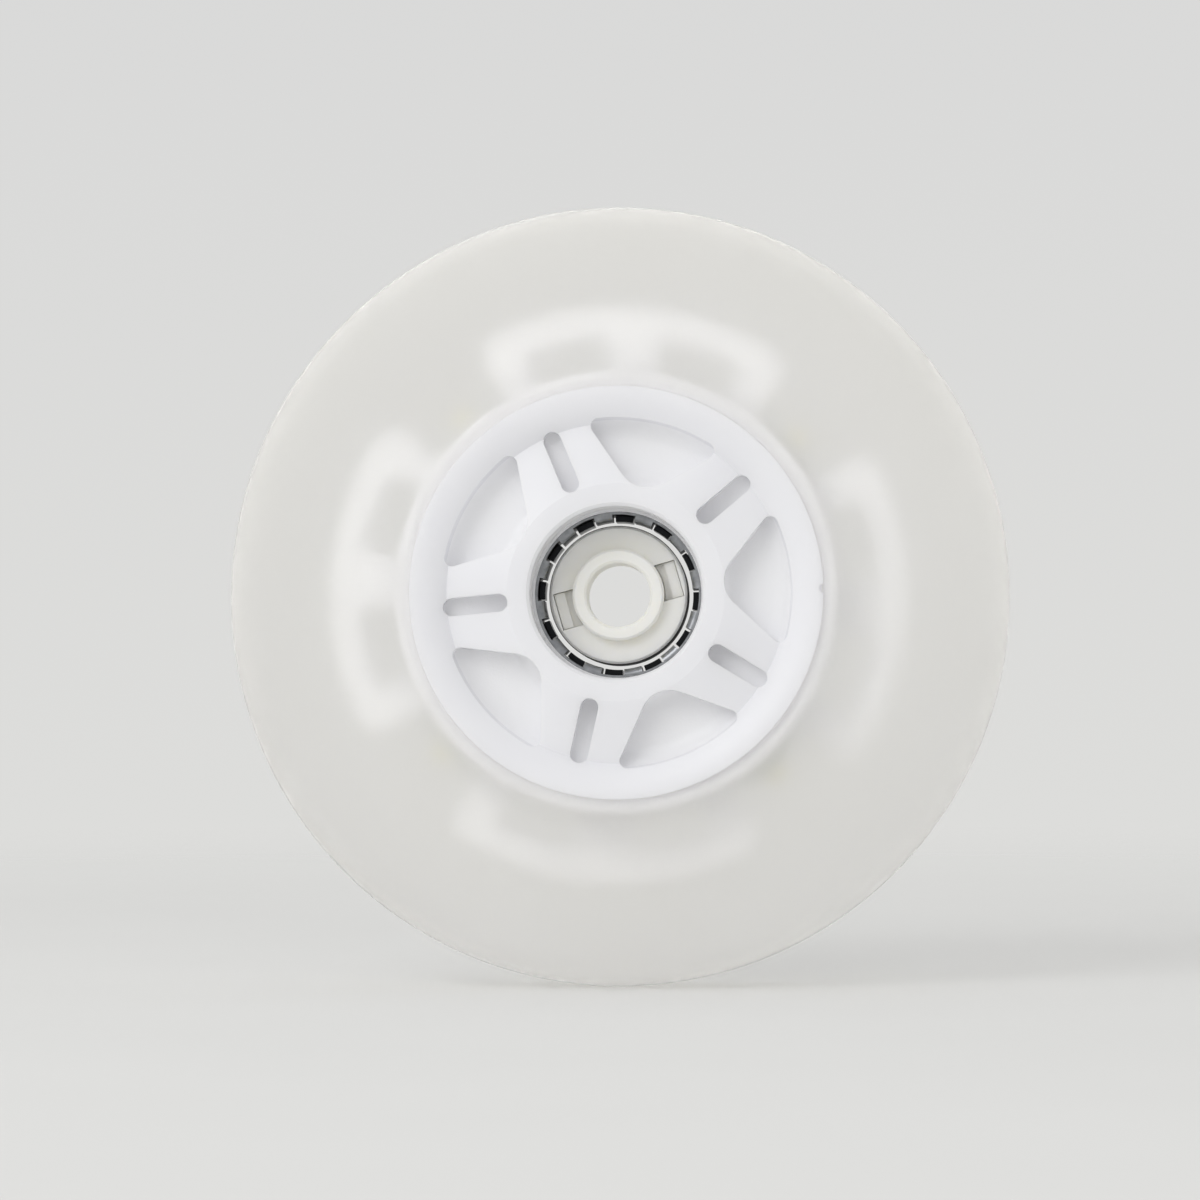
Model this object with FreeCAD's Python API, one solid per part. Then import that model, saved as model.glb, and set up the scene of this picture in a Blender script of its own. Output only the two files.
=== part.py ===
import FreeCAD, Part
import math
import os

from FreeCAD import Vector

# A light-up wheel. Clear polyurethane is cast round a white plastic hub. The hub holds a
# claw-pole coil, and a loose sleeve on the axle carries a magnet inside that coil.
#
# Millimetres and degrees. The wheel turns about Y and its front face looks along -Y.
# Angles run from +X towards +Z, which is anticlockwise as seen from the front.

# Driving dimensions: the wheel
WHEEL_RADIUS = 50.0
WHEEL_WIDTH = 24.0
TREAD_RADIUS = 12.0             # section radius of the full-round tread

# Driving dimensions: the hub
HUB_RADIUS = 26.2
BOSS_RADIUS = 13.8              # outer edge of the flat ring round the bearing seat
GROOVE_RADIUS = 21.6            # deepest circle, between the spokes and the rim
GROOVE_DEPTH = 1.8
SEAT_RADIUS = 11.0              # the outside of a 608 bearing
SEAT_DEPTH = 7.0                # the width of a 608 bearing
SEAT_CHAMFER = 0.4
SHOULDER_RADIUS = 10.63         # hole in the lip that the bearing stops against
SHOULDER_THICKNESS = 0.6
CHAMBER_RADIUS = 23.0           # wire chamber between the two halves
FLANGE_RADIUS = 28.2            # flange round the rim, which the polyurethane covers
FLANGE_DEPTH = 0.8
FLANGE_ROUND = 1.0
SPOKE_COUNT = 5
POCKET_ANGLE = 4.9              # middle of the first pocket
POCKET_APEX = 13.7              # where a pocket starts, next to the boss
POCKET_APEX_ROUND = 3.8
POCKET_OUTER = 22.3
POCKET_HALF_ANGLE = 23.4
POCKET_CORNER = 1.0
POCKET_FLOOR = -7.4
OUTER_RAMP_WIDTH = 3.0          # where a pocket's floor curves up to its outer wall
OUTER_RAMP_RISE = 2.4
INNER_RAMP_WIDTH = 2.2          # and to its apex
INNER_RAMP_RISE = 1.6
SLOT_WIDTH = 2.3
SLOT_START = 13.8
SLOT_END = 22.1
SLOT_FLOOR = -8.4
POST_DISTANCE = 20.8            # posts between the two halves, inside the wire chamber
POST_RADIUS = 1.3
PEG_RADIUS = 0.6                # pegs on the front posts, in sockets of the rear ones
PEG_LENGTH = 1.2
PEG_PLAY = 0.05
SOCKET_DEPTH = 1.4
COLLAR_THICKNESS = 0.95         # low ring that centres the poles
COLLAR_HEIGHT = 2.0
GATE_MARK_ANGLE = 1.0           # small nick in the rim where the plastic flowed in
GATE_MARK_RADIUS = 0.55
GATE_MARK_DEPTH = 0.5

# Driving dimensions: the ring that anchors the tyre
ANCHOR_BORE = 24.5
ANCHOR_HOOP_RADIUS = 28.2
ANCHOR_RADIUS = 36.9
ANCHOR_HOOP_WIDTH = 5.0
LOBE_WIDTH = 4.0
LOBE_COUNT = 4
LOBE_ANGLE = 86.5               # middle of the first lobe
LOBE_HALF_ANGLE = 33.5
LOBE_CORNER = 2.6
WINDOW_OFFSET = 15.5            # middle of a window, from the middle of its lobe
WINDOW_HALF_ANGLE = 9.5
WINDOW_INNER = 28.4
WINDOW_OUTER = 33.2
WINDOW_CORNER = 1.3

# Driving dimensions: the coil and its steel poles
POLE_BORE = 9.5
POLE_RADIUS = 14.5
SHEET = 0.7                     # thickness of the steel
CLAW_COUNT = 12                 # on each pole plate
CLAW_HALF_ANGLE = 6.6
CLAW_ANGLE = 11.0               # middle of the first front claw
CLAW_BEND = 0.85                # outer radius of the bend from the plate into its claws
CLAW_TIP_GAP = 2.9              # from a claw's tip to the far face
NOTCH_RADIUS = 10.3
BOBBIN_WALL = 0.5
BOBBIN_PLAY = 0.1
COIL_RADIUS = 13.4
LUG_ANGLE = 150.0               # the bobbin's lug, which holds the two terminal pins
LUG_WIDTH = 5.0
LUG_THICKNESS = 1.5
LUG_END = 15.4
LUG_PLAY = 0.3
PIN_SIDE = 0.6
PIN_DEPTH = 0.8                 # middle of a pin, below the pole plate's inner face

# Driving dimensions: the lead wires and the lamps
WIRE_RADIUS = 0.45
WIRE_HOLE_PLAY = 0.15
WIRE_HOLE_START = 22.0
WIRE_HOLE_LENGTH = 7.0
WIRE_Y = 1.2                    # the two lead wires lie either side of the middle plane
WIRE_Z = 1.5                    # and either side of the middle of each lamp board
HOOP_A_RADIUS = 17.2
HOOP_B_RADIUS = 18.6
BOARD_LENGTH = 8.0
BOARD_WIDTH = 4.4
BOARD_THICKNESS = 0.8
BOARD_PLAY = 0.1
LAMP_LENGTH = 3.5
LAMP_WIDTH = 2.8
LAMP_HEIGHT = 1.2
LAMP_CORNER = 0.3
LENS_RADIUS = 1.2
LENS_CENTRE = 0.9               # its centre's height above the board

# Driving dimensions: the magnet sleeve
AXLE_BORE = 4.1                 # clearance on an 8 mm axle
TUBE_RADIUS = 5.85
SLEEVE_LENGTH = 10.0            # fills the space between the two bearings
SLEEVE_BEVEL = 0.3
DISC_FACE = -3.4
DISC_THICKNESS = 0.6
DISC_RADIUS = 8.8
DRUM_RADIUS = 8.3
MAGNET_RADIUS = 8.9
MAGNET_PLAY = 0.02
LATCH_ANGLE = 16.0
LATCH_WIDTH = 4.8
LATCH_INNER = 6.6
LATCH_OUTER = 8.05
LATCH_DEPTH = 0.5               # from the disc's face to the end of the latch in its window
LATCH_STEP = 0.6                # the latch's inner edge ends this much deeper
LATCH_PLAY = 0.08

HALF_WIDTH = WHEEL_WIDTH / 2
FRONT = -HALF_WIDTH
SEAT_FLOOR = FRONT + SEAT_DEPTH
POLE_FACE = SEAT_FLOOR + SHOULDER_THICKNESS
POLE_INSIDE = POLE_FACE + SHEET
YOKE_BORE = POLE_RADIUS - SHEET
POLE_PLAY = 0.05
BOARD_BACK = ANCHOR_HOOP_RADIUS + BOARD_PLAY
LED_ANGLE = LOBE_ANGLE - 45.0   # middle of the first gap between lobes
PAST = 1.0                      # how far a cutting shape runs past the face that it cuts
NEAR = 0.1                      # half the width of the band in which corners are looked for

BACKWARDS = Vector(0, -1, 0)
ORIGIN = Vector(0, 0, 0)


def turned(start, *steps):
    """A solid turned about Y from (radius, y) points. A pair of points is an arc's middle and end."""
    edges = []
    here = Vector(start[0], start[1], 0)
    for step in steps + (start,):
        if isinstance(step[0], tuple):
            middle, end = (Vector(radius, along, 0) for radius, along in step)
            edges.append(Part.Arc(here, middle, end).toShape())
        else:
            end = Vector(step[0], step[1], 0)
            edges.append(Part.LineSegment(here, end).toShape())
        here = end
    return Part.Face(Part.Wire(edges)).revolve(ORIGIN, Vector(0, 1, 0), 360)


def ring(inner, outer, low, high):
    """A plain ring about Y, from y = low to y = high."""
    return turned((inner, low), (outer, low), (outer, high), (inner, high))


def rod(radius, low, high, distance=0.0, angle=0.0):
    """A round rod along Y, with its middle at a distance from the wheel's axis."""
    shape = Part.makeCylinder(radius, high - low, Vector(distance, low, 0), Vector(0, 1, 0))
    return at_angle(shape, angle)


def block(inner, outer, width, low, high):
    """A straight block that lies along +X, across Z and between two values of y."""
    return Part.makeBox(outer - inner, high - low, width, Vector(inner, low, -width / 2))


def sector(inner, outer, half_angle, low, high):
    """A piece of a ring, centred on +X."""
    edge = math.radians(half_angle)

    def point(radius, angle):
        return Vector(radius * math.cos(angle), low, radius * math.sin(angle))

    outline = Part.Wire([
        Part.Arc(point(outer, -edge), point(outer, 0), point(outer, edge)).toShape(),
        Part.LineSegment(point(outer, edge), point(inner, edge)).toShape(),
        Part.Arc(point(inner, edge), point(inner, 0), point(inner, -edge)).toShape(),
        Part.LineSegment(point(inner, -edge), point(outer, -edge)).toShape(),
    ])
    return Part.Face(outline).extrude(Vector(0, high - low, 0))


def corners(shape, *distances):
    """The straight edges along Y that lie about one of these distances from the axis."""
    found = []
    for edge in shape.Edges:
        ends = [vertex.Point for vertex in edge.Vertexes]
        if len(ends) != 2 or abs(abs(ends[1].y - ends[0].y) - edge.Length) > 1e-6:
            continue
        if any(abs(math.hypot(ends[0].x, ends[0].z) - distance) < NEAR for distance in distances):
            found.append(edge)
    return found


def at_angle(shape, angle):
    """A copy turned about the wheel's axis."""
    copy = shape.copy()
    copy.rotate(ORIGIN, BACKWARDS, angle)
    return copy


def spread(shape, first, count):
    """Copies spaced evenly about the wheel's axis, the first of them at an angle."""
    return [at_angle(shape, first + step * 360.0 / count) for step in range(count)]


def flipped(shape):
    """The mirror image in the wheel's middle plane."""
    return shape.mirror(ORIGIN, Vector(0, 1, 0))


def pocket():
    """The space of one blind pocket on +X: round next to the boss, widening to a curved outer wall."""
    corner_angle = math.radians(POCKET_HALF_ANGLE)
    corner_x = POCKET_OUTER * math.cos(corner_angle)
    corner_z = POCKET_OUTER * math.sin(corner_angle)
    middle = POCKET_APEX + POCKET_APEX_ROUND
    reach = math.hypot(corner_x - middle, corner_z)
    lean = math.acos(POCKET_APEX_ROUND / reach) - math.atan2(corner_x - middle, corner_z)
    touch_x = middle - POCKET_APEX_ROUND * math.sin(lean)
    touch_z = POCKET_APEX_ROUND * math.cos(lean)

    def point(x, z):
        return Vector(x, FRONT - PAST, z)

    outline = Part.Wire([
        Part.Arc(point(touch_x, -touch_z), point(POCKET_APEX, 0), point(touch_x, touch_z)).toShape(),
        Part.LineSegment(point(touch_x, touch_z), point(corner_x, corner_z)).toShape(),
        Part.Arc(point(corner_x, corner_z), point(POCKET_OUTER, 0), point(corner_x, -corner_z)).toShape(),
        Part.LineSegment(point(corner_x, -corner_z), point(touch_x, -touch_z)).toShape(),
    ])
    space = Part.Face(outline).extrude(Vector(0, HALF_WIDTH, 0))
    space = space.makeFillet(POCKET_CORNER, corners(space, POCKET_OUTER))

    # The floor is flat in the middle. It curves up to the outer wall and, less, to the inner one.
    outer_top, inner_top = POCKET_FLOOR - OUTER_RAMP_RISE, POCKET_FLOOR - INNER_RAMP_RISE
    outer_middle = (POCKET_OUTER - 0.3 * OUTER_RAMP_WIDTH, POCKET_FLOOR - 0.3 * OUTER_RAMP_RISE)
    inner_middle = (POCKET_APEX + 0.3 * INNER_RAMP_WIDTH, POCKET_FLOOR - 0.3 * INNER_RAMP_RISE)
    past_apex, past_outer = POCKET_APEX - PAST, POCKET_OUTER + PAST
    above_floor = turned(
        (past_apex, FRONT - 2 * PAST), (past_outer, FRONT - 2 * PAST), (past_outer, outer_top),
        (POCKET_OUTER, outer_top), (outer_middle, (POCKET_OUTER - OUTER_RAMP_WIDTH, POCKET_FLOOR)),
        (POCKET_APEX + INNER_RAMP_WIDTH, POCKET_FLOOR),
        (inner_middle, (POCKET_APEX, inner_top)), (past_apex, inner_top))
    return space.common(above_floor)


def slot():
    """The space of one round-ended blind slot along +X, down the middle of a spoke."""
    end_radius = SLOT_WIDTH / 2
    first, last = SLOT_START + end_radius, SLOT_END - end_radius
    low = FRONT - PAST
    straight = block(first, last, SLOT_WIDTH, low, SLOT_FLOOR)
    return straight.fuse([rod(end_radius, low, SLOT_FLOOR, first), rod(end_radius, low, SLOT_FLOOR, last)])


def lug_space(play):
    """The coil's terminal lug, or with some play the gap that it needs."""
    lug = block(COIL_RADIUS + BOBBIN_PLAY - play, LUG_END + play, LUG_WIDTH + 2 * play,
                POLE_INSIDE + POLE_PLAY, POLE_INSIDE + LUG_THICKNESS + play)
    return at_angle(lug, LUG_ANGLE)


def led_wire_holes(side):
    """The pairs of holes that lead a wire out to each lamp board. side is -1 at the front, 1 at the rear."""
    start = Vector(WIRE_HOLE_START, side * WIRE_Y, side * WIRE_Z)
    hole = Part.makeCylinder(WIRE_RADIUS + WIRE_HOLE_PLAY, WIRE_HOLE_LENGTH, start, Vector(1, 0, 0))
    return spread(hole, LED_ANGLE, LOBE_COUNT)


def flange():
    """The flange round the front half's rim: a ring with a rounded front edge."""
    low, high = FRONT + FLANGE_DEPTH, -ANCHOR_HOOP_WIDTH / 2
    halfway = FLANGE_ROUND * (1 - math.sqrt(0.5))
    return turned((HUB_RADIUS, low), (FLANGE_RADIUS - FLANGE_ROUND, low),
                  ((FLANGE_RADIUS - halfway, low + halfway), (FLANGE_RADIUS, low + FLANGE_ROUND)),
                  (FLANGE_RADIUS, high), (HUB_RADIUS, high))


def hub_half():
    """The front half of the hub, before its pegs: seat, boss, spokes, rim and half the wire chamber."""
    groove_y = FRONT + GROOVE_DEPTH
    hoop_y = -ANCHOR_HOOP_WIDTH / 2
    rim_width = HUB_RADIUS - GROOVE_RADIUS
    rim_round = (rim_width ** 2 + GROOVE_DEPTH ** 2) / (2 * GROOVE_DEPTH)
    half_turn = math.asin(rim_width / rim_round) / 2
    rim_middle = (HUB_RADIUS - rim_round * math.sin(half_turn),
                  FRONT + rim_round * (1 - math.cos(half_turn)))
    body = turned(
        (SEAT_RADIUS + SEAT_CHAMFER, FRONT), (SEAT_RADIUS, FRONT + SEAT_CHAMFER),
        (SEAT_RADIUS, SEAT_FLOOR), (SHOULDER_RADIUS, SEAT_FLOOR), (SHOULDER_RADIUS, POLE_FACE),
        (CHAMBER_RADIUS, POLE_FACE), (CHAMBER_RADIUS, 0), (ANCHOR_BORE, 0), (ANCHOR_BORE, hoop_y),
        (HUB_RADIUS, hoop_y), (HUB_RADIUS, FRONT),
        (rim_middle, (GROOVE_RADIUS, groove_y)), (BOSS_RADIUS, FRONT))
    spaces = spread(pocket(), POCKET_ANGLE, SPOKE_COUNT)
    spaces += spread(slot(), POCKET_ANGLE + 180.0 / SPOKE_COUNT, SPOKE_COUNT)
    body = body.cut(spaces)
    collar_bore = POLE_RADIUS + POLE_PLAY
    collar = ring(collar_bore, collar_bore + COLLAR_THICKNESS, POLE_FACE, POLE_FACE + COLLAR_HEIGHT)
    collar = collar.cut(lug_space(LUG_PLAY)).cut(flipped(lug_space(LUG_PLAY)))
    posts = spread(rod(POST_RADIUS, POLE_FACE, 0, POST_DISTANCE), LOBE_ANGLE, LOBE_COUNT)
    return body.fuse([flange(), collar] + posts).removeSplitter()


def hub_front_half():
    """The front half, with four pegs and the small mark where the rim was gated."""
    pegs = spread(rod(PEG_RADIUS, -PAST, PEG_LENGTH, POST_DISTANCE), LOBE_ANGLE, LOBE_COUNT)
    gate_mark = rod(GATE_MARK_RADIUS, FRONT - PAST, FRONT + GATE_MARK_DEPTH, HUB_RADIUS, GATE_MARK_ANGLE)
    return hub_half().fuse(pegs).cut(led_wire_holes(-1) + [gate_mark])


def hub_rear_half():
    """The rear half, with a socket for each peg of the front half."""
    sockets = spread(rod(PEG_RADIUS + PEG_PLAY, -PAST, SOCKET_DEPTH, POST_DISTANCE), LOBE_ANGLE, LOBE_COUNT)
    return flipped(hub_half()).cut(led_wire_holes(1) + sockets)


def anchor_ring():
    """The hoop between the hub halves, with four lobes whose windows the polyurethane fills."""
    half_hoop, half_lobe = ANCHOR_HOOP_WIDTH / 2, LOBE_WIDTH / 2
    hoop = ring(ANCHOR_BORE, ANCHOR_HOOP_RADIUS, -half_hoop, half_hoop)
    lobe = sector(ANCHOR_HOOP_RADIUS - PAST, ANCHOR_RADIUS, LOBE_HALF_ANGLE, -half_lobe, half_lobe)
    lobe = lobe.makeFillet(LOBE_CORNER, corners(lobe, ANCHOR_RADIUS))
    window = sector(WINDOW_INNER, WINDOW_OUTER, WINDOW_HALF_ANGLE, -half_hoop, half_hoop)
    window = window.makeFillet(WINDOW_CORNER, corners(window, WINDOW_INNER, WINDOW_OUTER))
    lobe = lobe.cut([at_angle(window, WINDOW_OFFSET), at_angle(window, -WINDOW_OFFSET)])
    body = hoop.fuse(spread(lobe, LOBE_ANGLE, LOBE_COUNT)).removeSplitter()
    return body.cut(led_wire_holes(-1) + led_wire_holes(1))


def led_board():
    """A small circuit board that lies on the hoop, across the middle of a gap."""
    return block(BOARD_BACK, BOARD_BACK + BOARD_THICKNESS, BOARD_LENGTH, -BOARD_WIDTH / 2, BOARD_WIDTH / 2)


def led_lamp():
    """A surface-mounted lamp: a square case with a low round lens that looks outwards."""
    base = BOARD_BACK + BOARD_THICKNESS
    side = LAMP_WIDTH / 2
    case = block(base, base + LAMP_HEIGHT, LAMP_LENGTH, -side, side)
    upright = [edge for edge in case.Edges if abs(edge.Vertexes[0].X - edge.Vertexes[1].X) > LAMP_HEIGHT / 2]
    case = case.makeFillet(LAMP_CORNER, upright)
    lens = Part.makeSphere(LENS_RADIUS, Vector(base + LENS_CENTRE, 0, 0))
    outer_half = block(base + LENS_CENTRE, base + LENS_CENTRE + LENS_RADIUS + PAST, LAMP_LENGTH, -side, side)
    return case.fuse(lens.common(outer_half)).removeSplitter()


def tyre(embedded):
    """Clear polyurethane with flat sides and a full-round tread, cast round the pieces inside it."""
    side_radius = WHEEL_RADIUS - TREAD_RADIUS
    body = turned((HUB_RADIUS, FRONT), (side_radius, FRONT),
                  ((WHEEL_RADIUS, 0), (side_radius, HALF_WIDTH)), (HUB_RADIUS, HALF_WIDTH))
    return body.cut(embedded + [flange(), flipped(flange())] + led_wire_holes(-1) + led_wire_holes(1))


def pole_plate():
    """A steel plate with a rounded inner edge, bent back into claws. The first claw is on +X."""
    tip = -POLE_FACE - CLAW_TIP_GAP
    halfway = CLAW_BEND * (1 - math.sqrt(0.5))
    body = turned(
        (POLE_RADIUS, POLE_FACE), (POLE_BORE + CLAW_BEND, POLE_FACE),
        ((POLE_BORE + halfway, POLE_FACE + halfway), (POLE_BORE, POLE_FACE + CLAW_BEND)),
        (POLE_BORE, tip), (POLE_BORE + SHEET, tip), (POLE_BORE + SHEET, POLE_INSIDE),
        (POLE_RADIUS, POLE_INSIDE))
    pitch = 360.0 / CLAW_COUNT
    gap = sector(POLE_BORE - PAST, NOTCH_RADIUS, pitch / 2 - CLAW_HALF_ANGLE, POLE_FACE - PAST, tip + PAST)
    return body.cut(spread(gap, pitch / 2, CLAW_COUNT))


def pole_front():
    """The front pole plate."""
    return at_angle(pole_plate(), CLAW_ANGLE)


def pole_rear():
    """The rear pole plate, half a claw further round, with the outer wall that joins the two."""
    yoke = ring(YOKE_BORE, POLE_RADIUS, POLE_INSIDE, -POLE_FACE)
    body = at_angle(flipped(pole_plate()), CLAW_ANGLE + 180.0 / CLAW_COUNT)
    return body.fuse(yoke).removeSplitter().cut(lug_space(LUG_PLAY))


def coil_bobbin():
    """The plastic spool inside the poles, with the lug that holds the two terminals."""
    inner = POLE_BORE + SHEET + BOBBIN_PLAY
    outer = YOKE_BORE - BOBBIN_PLAY
    end = -(POLE_INSIDE + POLE_PLAY)
    body = turned(
        (inner, -end), (outer, -end), (outer, -end + BOBBIN_WALL), (inner + BOBBIN_WALL, -end + BOBBIN_WALL),
        (inner + BOBBIN_WALL, end - BOBBIN_WALL), (outer, end - BOBBIN_WALL), (outer, end), (inner, end))
    return body.fuse(lug_space(0)).removeSplitter()


def coil_winding():
    """The whole winding as one ring of enamelled copper wire."""
    inner = POLE_BORE + SHEET + BOBBIN_PLAY + BOBBIN_WALL
    end = -(POLE_INSIDE + POLE_PLAY) - BOBBIN_WALL
    return ring(inner, COIL_RADIUS, -end, end)


def terminal_pin(side, hoop_radius, hoop_y):
    """A square pin from the lug out to a lead wire's hoop, then along to the wire."""
    pin_y = POLE_INSIDE + PIN_DEPTH
    end = hoop_radius + PIN_SIDE / 2
    flat = Part.makeBox(end - LUG_END, PIN_SIDE, PIN_SIDE,
                        Vector(LUG_END, pin_y - PIN_SIDE / 2, side * WIRE_Z - PIN_SIDE / 2))
    rise = Part.makeBox(PIN_SIDE, hoop_y - WIRE_RADIUS - pin_y, PIN_SIDE,
                        Vector(end - PIN_SIDE, pin_y, side * WIRE_Z - PIN_SIDE / 2))
    return at_angle(flat.fuse(rise).removeSplitter(), LUG_ANGLE)


def lead_wire(side, hoop_radius):
    """An insulated wire: a hoop round the coil and a branch out to each lamp board."""
    hoop = Part.makeTorus(hoop_radius, WIRE_RADIUS, Vector(0, side * WIRE_Y, 0), Vector(0, 1, 0))
    branch = Part.makeCylinder(WIRE_RADIUS, BOARD_BACK - hoop_radius,
                               Vector(hoop_radius, side * WIRE_Y, side * WIRE_Z), Vector(1, 0, 0))
    return hoop.fuse(spread(branch, LED_ANGLE, LOBE_COUNT))


def sleeve_half():
    """One of two like mouldings: half the axle tube and a disc with two windows and two latches."""
    tube_end = -SLEEVE_LENGTH / 2
    bevel = SLEEVE_BEVEL
    body = turned(
        (AXLE_BORE + bevel, tube_end), (TUBE_RADIUS - bevel, tube_end), (TUBE_RADIUS, tube_end + bevel),
        (TUBE_RADIUS, DISC_FACE), (DISC_RADIUS - bevel, DISC_FACE), (DISC_RADIUS, DISC_FACE + bevel),
        (DISC_RADIUS, DISC_FACE + DISC_THICKNESS), (DRUM_RADIUS, DISC_FACE + DISC_THICKNESS),
        (DRUM_RADIUS, 0), (AXLE_BORE, 0), (AXLE_BORE, tube_end + bevel))
    window = block(TUBE_RADIUS - PAST, LATCH_OUTER, LATCH_WIDTH, DISC_FACE - PAST, PAST)
    window = window.cut(rod(TUBE_RADIUS, DISC_FACE - 2 * PAST, 2 * PAST))
    body = body.cut(spread(window, LATCH_ANGLE, 2))
    width, end = LATCH_WIDTH - 2 * LATCH_PLAY, -DISC_FACE - LATCH_DEPTH
    latch = block(LATCH_INNER, LATCH_OUTER - LATCH_PLAY, width, -PAST, end)
    step = block(TUBE_RADIUS - PAST, LATCH_INNER + PAST, width, -PAST, end - LATCH_STEP)
    latch = latch.fuse(step.cut(rod(TUBE_RADIUS + LATCH_PLAY, -2 * PAST, end)))
    return body.fuse(spread(latch, LATCH_ANGLE + 90, 2)).removeSplitter()


def sleeve_rear_half():
    """The same moulding turned over, so that each half's latches enter the other's windows."""
    half = sleeve_half()
    turn = math.radians(LATCH_ANGLE + 45)
    half.rotate(ORIGIN, Vector(math.cos(turn), 0, math.sin(turn)), 180)
    return half


def magnet_ring():
    """A thin ferrite ring, magnetised in stripes, on the drum between the two discs."""
    end = -(DISC_FACE + DISC_THICKNESS)
    return ring(DRUM_RADIUS + MAGNET_PLAY, MAGNET_RADIUS, -end, end)


def build():
    """Every node of the wheel, by name."""
    nodes = {"anchor_ring": anchor_ring()}
    for number, angle in enumerate((LED_ANGLE + step * 90.0 for step in range(LOBE_COUNT)), start=1):
        nodes[f"led_board_{number}"] = at_angle(led_board(), angle)
        nodes[f"led_lamp_{number}"] = at_angle(led_lamp(), angle)
    nodes["tyre"] = tyre(list(nodes.values()))
    nodes["hub_front_half"] = hub_front_half()
    nodes["hub_rear_half"] = hub_rear_half()
    nodes["pole_front"] = pole_front()
    nodes["pole_rear"] = pole_rear()
    nodes["coil_bobbin"] = coil_bobbin()
    nodes["coil_winding"] = coil_winding()
    nodes["terminal_pin_a"] = terminal_pin(-1, HOOP_A_RADIUS, -WIRE_Y)
    nodes["terminal_pin_b"] = terminal_pin(1, HOOP_B_RADIUS, WIRE_Y)
    nodes["lead_wire_a"] = lead_wire(-1, HOOP_A_RADIUS)
    nodes["lead_wire_b"] = lead_wire(1, HOOP_B_RADIUS)
    nodes["sleeve_front_half"] = sleeve_half()
    nodes["sleeve_rear_half"] = sleeve_rear_half()
    nodes["magnet_ring"] = magnet_ring()
    return nodes


os.makedirs("parts", exist_ok=True)
for name, shape in build().items():
    if not shape.isValid():
        raise ValueError(f"{name} is not a valid shape")
    print(f"{name}: {len(shape.Solids)} solid, {shape.Volume:.1f} cubic mm")
    shape.exportStep(f"parts/{name}.step")
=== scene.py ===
import math

import bmesh
import bpy
from bpy.props import FloatProperty, IntProperty, PointerProperty, StringProperty
from mathutils import Matrix, Vector


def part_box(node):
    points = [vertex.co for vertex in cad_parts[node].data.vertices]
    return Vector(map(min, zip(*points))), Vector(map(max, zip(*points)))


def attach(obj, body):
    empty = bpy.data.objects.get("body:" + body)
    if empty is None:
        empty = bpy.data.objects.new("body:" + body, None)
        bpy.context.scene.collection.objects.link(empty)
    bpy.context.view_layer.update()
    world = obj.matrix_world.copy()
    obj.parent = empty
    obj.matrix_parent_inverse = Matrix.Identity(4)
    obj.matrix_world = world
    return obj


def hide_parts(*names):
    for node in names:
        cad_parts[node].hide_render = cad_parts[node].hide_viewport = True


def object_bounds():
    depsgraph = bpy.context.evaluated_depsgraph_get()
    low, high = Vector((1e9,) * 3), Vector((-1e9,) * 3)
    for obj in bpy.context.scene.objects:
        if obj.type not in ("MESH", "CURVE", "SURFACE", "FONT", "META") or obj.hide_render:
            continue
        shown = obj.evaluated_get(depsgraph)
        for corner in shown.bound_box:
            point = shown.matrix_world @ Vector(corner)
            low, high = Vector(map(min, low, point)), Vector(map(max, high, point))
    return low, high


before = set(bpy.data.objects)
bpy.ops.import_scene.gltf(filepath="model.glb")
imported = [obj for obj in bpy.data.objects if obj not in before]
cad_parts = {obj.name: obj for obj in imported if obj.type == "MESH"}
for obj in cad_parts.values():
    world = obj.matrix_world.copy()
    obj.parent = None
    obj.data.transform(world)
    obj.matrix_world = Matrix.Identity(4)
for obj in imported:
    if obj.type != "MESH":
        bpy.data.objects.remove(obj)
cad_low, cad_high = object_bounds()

bl_info = {
    "name": "Light-up caster wheel",
    "version": (1, 0, 0),
    "blender": (4, 5, 0),
    "location": "View3D > Sidebar > Wheel",
    "description": "Finishes the packed wheel: clear cast tyre, white hub, plated poles, sleeve and lamps",
    "category": "Object",
}

MM = 0.001
WHEEL_RADIUS = (cad_high.z - cad_low.z) / 2
HALF_WIDTH = (cad_high.y - cad_low.y) / 2
RIM_RADIUS = 26.2 * MM                    # outer edge of the hub's front face
POLE_FACE = -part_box("pole_front")[0].y    # from the middle plane to the poles' outer faces
LENS_START = 30.2 * MM                    # from the axis to where a lamp's case ends and its lens begins

# Where the lamps stand from the wheel's centre, and the side of the smaller one, in metres
KEY_LAMP_AT = (-0.58, -1.0, 0.62)
FILL_LAMP_AT = (0.25, -1.0, -0.35)
FILL_LAMP_SIZE = 0.2


# ---------------------------------------------------------------- settings

def millimetres(name, description, default):
    """A length that a user can change, in metres with a default given in millimetres."""
    return FloatProperty(name=name, description=description, default=default * MM, min=0.0, unit="LENGTH",
                         precision=5)


def colour(name, description, default):
    """A colour that a user can change, as an sRGB hex value."""
    return StringProperty(name=name, description=description, default=default, maxlen=7)


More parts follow.
